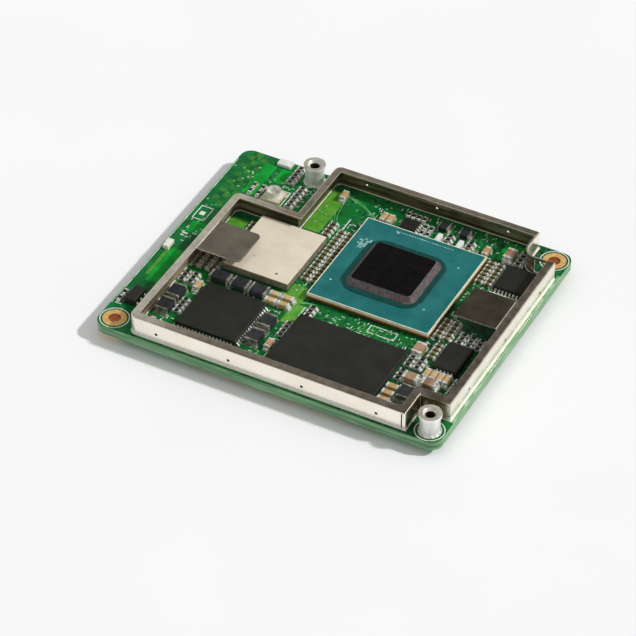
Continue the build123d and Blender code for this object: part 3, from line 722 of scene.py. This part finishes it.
upright = tin.mix(outward, rolled, tin.wander(2.0, 0.22, 0.28))
tin.link(tin.mix(tin.facing_up(), upright, rolled), tin.shader.inputs["Roughness"])
tin.relief(0.5, 0.0006, 1.0, (0.2, 0.2, 1))
# Painted shade: the walls of the small round holes in the fence are painted dark brown.
hole_painted_shade = Finish("painted_shade_in_holes", 0.6)
hole_painted_shade.mottled(0.1, (44, 36, 30), (62, 52, 44))
hole_painted_shade.relief(0.05, 0.002)
# Painted highlight: the bevel faces along every cut edge are painted near white, and the fence land below
# the walls wears the same pale paint.
edge_painted_highlight = Finish("painted_edge_highlight", 0.34, 0.05)
edge_painted_highlight.mottled(1.0, (238, 232, 216), (253, 250, 240))
edge_painted_highlight.relief(0.2, 0.001)
# Painted reflection: the right tab is painted darker than the left one, in step with the lips.
tab_tin_painted_reflection = Finish("tab_tin_with_painted_reflection", metallic=0.95)
tab_tin_painted_reflection.colour(tab_tin_painted_reflection.mix(tab_tin_painted_reflection.band("X", 0, 5, 24, 25),
                           tab_tin_painted_reflection.mottle(2.6, (166, 160, 148), (190, 184, 172)),
                           tab_tin_painted_reflection.mottle(2.6, (100, 96, 84), (122, 117, 103))))
tab_tin_painted_reflection.roughness(1.2, 0.3, 0.38)
tab_tin_painted_reflection.relief(0.5, 0.0006)
hole_shade_slot, tab_slot, highlight_slot = 1, 2, 3
fence = softened("shield_fence", "folded_shield_fence", 0.075, edge_slot=highlight_slot)
for index, finish in enumerate((tin, hole_painted_shade, tab_tin_painted_reflection, edge_painted_highlight)):
    fence.data.materials[index] = finish.material
# The walls of the round holes are the only small faces between these heights
hole_low, hole_high, hole_round = 3.2 * MM, 3.76 * MM, 1.1 * MM
bpy.ops.object.mode_set(mode="EDIT")
bpy.ops.mesh.select_mode(type="FACE")
bpy.ops.mesh.select_all(action="DESELECT")
mesh = bmesh.from_edit_mesh(fence.data)
for face in mesh.faces:
    if hole_low < min(v.co.z for v in face.verts) and max(v.co.z for v in face.verts) < hole_high:
        face.select_set(face.calc_perimeter() < hole_round)
bmesh.update_edit_mesh(fence.data)
fence.active_material_index = hole_shade_slot
bpy.ops.object.material_slot_assign()
tab_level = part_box("shield_fence")[1][2] - 0.01 * MM
tabs = ((-17.9, -4.3, -11.0, 2.2), (16.0, -0.6, 22.3, 5.8))
pick("FACE", lambda co: co.z > tab_level and any(
    x0 < co.x / MM < x1 and y0 < co.y / MM < y1 for x0, y0, x1, y1 in tabs))
fence.active_material_index = tab_slot
bpy.ops.object.material_slot_assign()
bpy.ops.object.mode_set(mode="OBJECT")
carry(fence, "tin_sheet", "shield_fence")
# The land wears the pale painted highlight colour too.
wear(nodes["fence_land"], edge_painted_highlight)

# Processor
# An organic package: a copper-cored laminate with a teal mask on solder balls, a black moulded cap
# over the die and a collar of glossy resin. Its sawn edge shows copper under a cream line.
laminate_low, laminate_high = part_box("processor_laminate")
teal = Finish("teal_package_mask")
edge_height = teal.spread(teal.along("Z"), laminate_low[2], laminate_high[2])
sawn = ramp(teal.tree, edge_height, (0.0, (66, 36, 20)), (0.25, (112, 64, 34)), (0.46, (186, 108, 56)),
            (0.56, (226, 160, 104)), (0.62, (250, 244, 216)), (1.0, (252, 250, 232)))
teal_face = teal.mottle(2.5, (14, 104, 104), (28, 118, 116))
teal.colour(teal.mix(teal.facing_up(), sawn, teal_face))
teal.roughness(1.0, 0.26, 0.38)
teal.relief(0.2, 0.002)
laminate = softened("processor_laminate", "processor_laminate_sawn", 0.03)
wear(laminate, teal)
carry(laminate, "teal_laminate", "processor_laminate")
margin_inset, margin_width = 0.01, 0.11
margin = frame_print("saw_margin", laminate_low[0] / MM + margin_inset, laminate_low[1] / MM + margin_inset,
                     laminate_high[0] / MM - margin_inset, laminate_high[1] / MM - margin_inset,
                     margin_width, laminate_high[2])
bare_margin = Finish("bare_laminate_margin", 0.5)
bare_margin.mottled(1.2, (214, 218, 184), (246, 246, 222))
bare_margin.relief(0.1, 0.002)
wear(margin, bare_margin)
carry(margin, "teal_laminate")

resin = Finish("glossy_underfill_resin")
resin.mottled(1.2, (8, 66, 62), (12, 78, 74))
resin.roughness(0.9, 0.12, 0.24)
resin.relief(0.6, 0.004)
wear(nodes["processor_resin"], resin)

cap_finish = Finish("black_moulded_cap", specular=0.16)
# Painted reflection: the cap's sides are painted a lighter purple grey than its near black top.
cap_sides_painted_reflection = cap_finish.mottle(0.4, (84, 74, 76), (108, 98, 98))
cap_top = cap_finish.mottle(1.2, (6, 5, 7), (12, 10, 13))
flat_part = cap_finish.spread(cap_finish.facing_up(), 0.75, 0.98)
cap_finish.colour(cap_finish.mix(flat_part, cap_sides_painted_reflection, cap_top))
cap_finish.roughness(0.5, 0.24, 0.36)
cap_finish.relief(0.08, 0.003)
cap = softened("processor_cap", "processor_cap_moulded", 0.06, segments=3, limit=25.0)
wear(cap, cap_finish)
carry(cap, "black_mould", "processor_cap")
wear(nodes["processor_balls"], solder)

dots = [ring_print("dot", x, y, 0, 0.16, height=0.015, foot=laminate_high[2], sides=16)
        for x, y in ((2.43, 12.42), (12.3, 9.76), (-1.01, 0.17), (12.02, 0.43))]
patch_marks = random.Random(5)
for row in range(7):
    for column in range(5):
        if patch_marks.random() < 0.6:
            x, y = -1.4 + 0.34 * column, 7.1 + 0.36 * row
            dots.append(plate("dot", x, y, x + 0.26, y + 0.26, 0.015, laminate_high[2]))
for step in range(23):
    x = 2.1 + 0.36 * step
    dots.append(plate("dot", x, 12.55, x + 0.2, 12.72, 0.015, laminate_high[2]))
dots = join("processor_print", dots)
pale_ink = Finish("pale_package_ink", 0.5)
pale_ink.mottled(0.5, (112, 166, 160), (186, 214, 206))
pale_ink.relief(0.05, 0.002)
wear(dots, pale_ink)
carry(dots, "teal_laminate")

# Memory, power, interface, flash, clock and switch chips
# Epoxy packages moulded in dark grey compound with fine filler. Each has tinned feet or balls
# below, and on the memory, power, interface and flash chips a shallow round mark in the moulding shows the
# first pin.
mould = Finish("dark_grey_mould", specular=0.4)
mould.colour(mould.mix(mould.noise(0.09, 2.0), mould.mottle(4.0, (27, 28, 25), (33, 34, 31)),
                       mould.mottle(2.0, (36, 37, 33), (43, 44, 40))))
mould.roughness(1.5, 0.36, 0.5)
mould.relief(0.06, 0.004)
pins = Finish("tinned_copper_feet", metallic=0.4)
pins.mottled(0.3, (210, 212, 198), (248, 248, 238))
pins.roughness(0.3, 0.26, 0.42)
pins.relief(0.1, 0.003)
for name in ("memory_block", "power_chip", "interface_chip", "flash_chip", "clock_chip", "switch_chip"):
    wear(nodes[name], mould)
for name in ("power_chip_pins", "interface_chip_pins", "flash_chip_pins", "clock_chip_pins",
             "switch_chip_legs"):
    wear(nodes[name], pins)
wear(nodes["memory_balls"], solder)
package_green = Finish("green_package_laminate")
package_green.mottled(0.8, (30, 84, 52), (46, 108, 68))
package_green.roughness(0.8, 0.3, 0.42)
package_green.relief(0.3, 0.003)
wear(nodes["memory_laminate"], package_green)
wear(nodes["radio_laminate"], package_green)

marks_on = []
for name, inset, radius in (("memory_block", 0.8, 0.3), ("power_chip", 0.75, 0.28),
                            ("interface_chip", 0.6, 0.2), ("flash_chip", 0.6, 0.2)):
    low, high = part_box(name)
    marks_on.append(ring_print("first_pin", low[0] / MM + inset, low[1] / MM + inset, radius - 0.05,
                               radius, 0.006, high[2]))
marks_on = join("first_pin_marks", marks_on)
wear(marks_on, mould)
carry(marks_on, "grey_mould")

# Radio
# A moulded radio module with a sprayed cream shield coat. Its sides are coloured a darker grey
# cream than its top, and a round vent and a small rub mark lie near two corners.
cream = Finish("cream_shield_coat")
coat_top = cream.mottle(2.4, (222, 211, 188), (232, 222, 202))
coat_side = cream.mottle(0.7, (112, 104, 86), (140, 131, 112))
cream.colour(cream.mix(cream.facing_up(), coat_side, coat_top))
cream.roughness(0.9, 0.36, 0.5)
cream.relief(0.07, 0.003)
radio = softened("radio_block", "radio_block_coated", 0.04)
wear(radio, cream)
carry(radio, "cream_coat", "radio_block")
radio_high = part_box("radio_block")[1][2]
vent = ring_print("radio_vent", -7.4, -2.35, 0, 0.19, 0.012, radio_high, 20)
bronze = Finish("brown_vent_spot", 0.5)
bronze.mottled(0.3, (132, 96, 62), (160, 120, 82))
bronze.relief(0.05, 0.003)
wear(vent, bronze)
carry(vent, "cream_coat")
rub = ring_print("radio_rub_mark", -11.68, -0.56, 0.08, 0.2, 0.008, radio_high, 20)
rubbed = Finish("rubbed_cream_coat", 0.5)
rubbed.mottled(0.3, (176, 162, 136), (206, 194, 170))
rubbed.relief(0.05, 0.003)
wear(rub, rubbed)
carry(rub, "cream_coat")

# Capacitors, resistors and chokes
# Fired ceramic or pressed powder bodies between two dipped metal ends. Each end stands on a tinned
# pad, and the reflowed solder climbs its outer face in a hollow fillet.


def solids_of(node_name):
    """Middle and size of every separate solid in a CAD node."""
    mesh = bmesh.new()
    mesh.from_mesh(nodes[node_name].data)
    bmesh.ops.remove_doubles(mesh, verts=mesh.verts, dist=0.0005 * MM)
    left = set(mesh.verts)
    solids = []
    while left:
        start = left.pop()
        group, stack = [start], [start]
        while stack:
            for edge in stack.pop().link_edges:
                for vert in edge.verts:
                    if vert in left:
                        left.discard(vert)
                        group.append(vert)
                        stack.append(vert)
        low = Vector([min(vert.co[axis] for vert in group) for axis in range(3)])
        high = Vector([max(vert.co[axis] for vert in group) for axis in range(3)])
        solids.append(((low + high) / 2, high - low))
    mesh.free()
    return solids


def block(name, length, width, height, middle=0.0):
    """Plain block that stands on the origin, in metres."""
    bpy.ops.object.select_all(action="DESELECT")
    bpy.ops.mesh.primitive_cube_add(size=1, location=(middle, 0, height / 2))
    piece = bpy.context.object
    piece.name = name
    piece.scale = (length, width, height)
    settle(piece)
    return piece


def soft_block(name, length, width, height, edge):
    """Block with rounded edges that stands on the origin, in metres."""
    piece = block(name, length, width, height)
    finish_edges(piece, edge)
    return piece


def fillet_wedge(reach, width, height):
    """Hollow solder fillet that climbs towards -X, in metres."""
    piece = block("fillet", reach, width, height, reach / 2)
    bpy.ops.object.mode_set(mode="EDIT")
    pick("EDGE", lambda co: co.x > reach * 0.9 and co.z > height * 0.9)
    bpy.ops.mesh.bevel(offset=min(reach, height) * 0.94, segments=3, profile=fillet_hollow, affect="EDGES")
    bpy.ops.object.mode_set(mode="OBJECT")
    bpy.ops.object.shade_smooth_by_angle(angle=math.radians(50))
    return piece


def alike(parts):
    """Places of the parts of each size, as (size, places), out of (place, size) pairs."""
    groups = {}
    for place, size in parts:
        key = tuple(round(value / MM, 2) for value in size)
        groups.setdefault(key, (size, []))[1].append(place)
    return groups.values()


tinned_pad = Finish("tinned_copper_pad", metallic=0.4)
tinned_pad.mottled(0.3, (150, 164, 140), (228, 232, 212), 1.0)
tinned_pad.roughness(0.3, 0.22, 0.4)
tinned_pad.relief(0.1, 0.003)


def chip_parts(kind, body_finish, body_slot, edge, reach, climb, dip=solder):
    """Rounded bodies and ends for one kind of chip part, with its pads and its solder fillets."""
    bodies = solids_of(f"{kind}_bodies")
    ends = []
    for middle, size in solids_of(f"{kind}_ends"):
        away = min((middle - body_middle for body_middle, _ in bodies), key=lambda step: step.length)
        angle = math.atan2(round(away.y / MM, 1), round(away.x / MM, 1))
        if abs(away.y) > abs(away.x):
            size = Vector((size.y, size.x, size.z))
        foot = Matrix.Translation((middle.x, middle.y, board_top))
        ends.append((foot @ Matrix.Rotation(angle, 4, "Z"), size))
    made_ends, pads, fillets = [], [], []
    pad_rim, pad_height = 0.06, 0.025
    for size, places in alike(ends):
        made_ends.append(copies("ends", soft_block("end", *size, edge), places))
        wedge = fillet_wedge(reach * MM, size.y * 0.96, size.z * climb)
        wedge.data.transform(Matrix.Translation((size.x / 2, 0, 0.01 * MM)))
        fillets.append(copies("fillets", wedge, places))
        half_length, half_width = size.x / 2 / MM, size.y / 2 / MM + pad_rim
        pad = plate("pad", -half_length, -half_width, half_length + reach + 0.08, half_width, pad_height, 0)
        pads.append(copies("pads", pad, places))
    made_ends = join(f"{kind}_ends_dipped", made_ends)
    fillets = join(f"{kind}_solder_fillets", fillets)
    pads = join(f"{kind}_pads", pads)
    standing = [(Matrix.Translation((middle.x, middle.y, middle.z - size.z / 2)), size)
                for middle, size in bodies]
    made_bodies = join(f"{kind}_bodies_fired", [
        copies("bodies", soft_block("body", *size, edge * 0.7), places) for size, places in alike(standing)])
    wear(made_bodies, body_finish)
    wear(made_ends, dip)
    wear(fillets, dip)
    wear(pads, tinned_pad)
    carry(made_bodies, body_slot, f"{kind}_bodies")
    carry(made_ends, "solder", f"{kind}_ends")
    carry(fillets, "solder")
    carry(pads, "solder")


brown = Finish("brown_fired_ceramic")
brown.colour(brown.mix(brown.noise(3.0, 1.0), brown.mottle(1.6, (60, 58, 38), (106, 90, 58)),
                       brown.mottle(1.6, (108, 106, 62), (142, 138, 90))))
brown.roughness(0.3, 0.42, 0.58)
brown.relief(0.05, 0.003)
chip_parts("small_capacitor", brown, "brown_ceramic", edge=0.05, reach=0.16, climb=0.7)
film = Finish("black_resistor_film")
film.colour(film.mix(film.facing_up(), film.mottle(0.4, (176, 176, 170), (206, 206, 200)),
                     film.mottle(0.5, (14, 15, 16), (26, 27, 28))))
film.roughness(0.3, 0.34, 0.5)
film.relief(0.05, 0.003)
chip_parts("small_resistor", film, "dark_ceramic", edge=0.04, reach=0.16, climb=0.7)
tan = Finish("tan_fired_ceramic")
tan.colour(tan.mix(tan.noise(4.0, 1.0), tan.mottle(2.2, (166, 108, 64), (198, 146, 96)),
                   tan.mottle(2.2, (190, 168, 112), (212, 196, 144))))
tan.roughness(0.4, 0.42, 0.58)
tan.relief(0.05, 0.003)
chip_parts("medium_capacitor", tan, "tan_ceramic", edge=0.07, reach=0.22, climb=0.6)
dark_brown = Finish("dark_brown_fired_ceramic")
dark_brown.mottled(2.2, (138, 106, 84), (172, 138, 112))
dark_brown.roughness(0.4, 0.42, 0.58)
dark_brown.relief(0.05, 0.003)
chip_parts("large_capacitor", dark_brown, "dark_brown_ceramic", edge=0.08, reach=0.25, climb=0.5)
pressed = Finish("pressed_iron_powder")
pressed.mottled(0.5, (30, 33, 37), (48, 51, 56))
pressed.roughness(0.4, 0.44, 0.6)
pressed.relief(0.07, 0.006)
dull_tin = Finish("dull_tinned_ends", metallic=0.5)
dull_tin.mottled(0.5, (112, 114, 102), (184, 184, 170), 1.0)
dull_tin.roughness(0.4, 0.34, 0.5)
dull_tin.relief(0.1, 0.004)
chip_parts("power_choke", pressed, "ferrite", edge=0.08, reach=0.22, climb=0.4, dip=dull_tin)

# Antenna, socket, lamp and filters
# A glazed ceramic antenna bar and a snap-on coaxial socket stand in the bay outside the fence, a
# lamp at the left edge, and two glazed filters behind the processor.
glaze = Finish("white_glazed_ceramic")
glaze.mottled(0.8, (220, 221, 216), (236, 237, 232))
glaze.roughness(0.6, 0.24, 0.38)
glaze.relief(0.1, 0.002)
for name in ("ceramic_filters", "chip_antenna"):
    piece = softened(name, f"{name}_glazed", 0.05)
    wear(piece, glaze)
    carry(piece, "white_ceramic", name)
lens = Finish("clouded_lamp_lens", 0.24)
lens.mottled(0.4, (226, 226, 208), (242, 242, 228))
lens.relief(0.1, 0.002)
wear(nodes["status_lamp"], lens)
beige = Finish("beige_socket_moulding", 0.46)
beige.mottled(0.6, (196, 184, 156), (214, 203, 178))
beige.relief(0.06, 0.003)
wear(nodes["coaxial_socket_base"], beige)
wear(nodes["coaxial_socket_shell"], nickel_painted_top_shade)
wear(nodes["coaxial_socket_pin"], nickel_painted_top_shade)

# Board-to-board plugs
# Three low plugs under the board: a black moulding with a slot and two rows of sprung contacts.
# The gold feet outside come with the solids, and the contact blades in the slot are added here.
plug_black = Finish("black_plug_moulding")
plug_black.mottled(0.4, (22, 22, 24), (34, 34, 36))
plug_black.roughness(0.4, 0.34, 0.5)
plug_black.relief(0.06, 0.003)
contact_gold = Finish("gold_contact_plate", metallic=1.0)
contact_gold.mottled(0.3, (222, 168, 98), (244, 200, 132))
contact_gold.roughness(0.3, 0.2, 0.36)
contact_gold.relief(0.1, 0.002)
contact_pitch, contacts_a_row, row_offset = 0.4 * MM, 50, 0.68 * MM
for number in (1, 2, 3):
    wear(nodes[f"plug_{number}_housing"], plug_black)
    wear(nodes[f"plug_{number}_contacts"], contact_gold)
    wear(nodes[f"plug_{number}_anchors"], contact_gold)
    low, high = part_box(f"plug_{number}_housing")
    middle = Vector(((low[0] + high[0]) / 2, (low[1] + high[1]) / 2, 0))
    row_turn = math.pi / 2 if high[1] - low[1] > high[0] - low[0] else 0
    blade = soft_block("blade", 0.2 * MM, 0.08 * MM, 0.62 * MM, 0.02)
    blade.data.transform(Matrix.Translation((0, 0, 0.1 * MM)))
    seats = []
    for side in (-1, 1):
        for step in range(contacts_a_row):
            along = (step - (contacts_a_row - 1) / 2) * contact_pitch
            seats.append(Matrix.Translation(middle) @ Matrix.Rotation(row_turn, 4, "Z")
                         @ Matrix.Translation((along, side * row_offset, 0)))
    blades = copies(f"plug_{number}_blades", blade, seats)
    wear(blades, contact_gold)
    carry(blades, "gold_contacts")
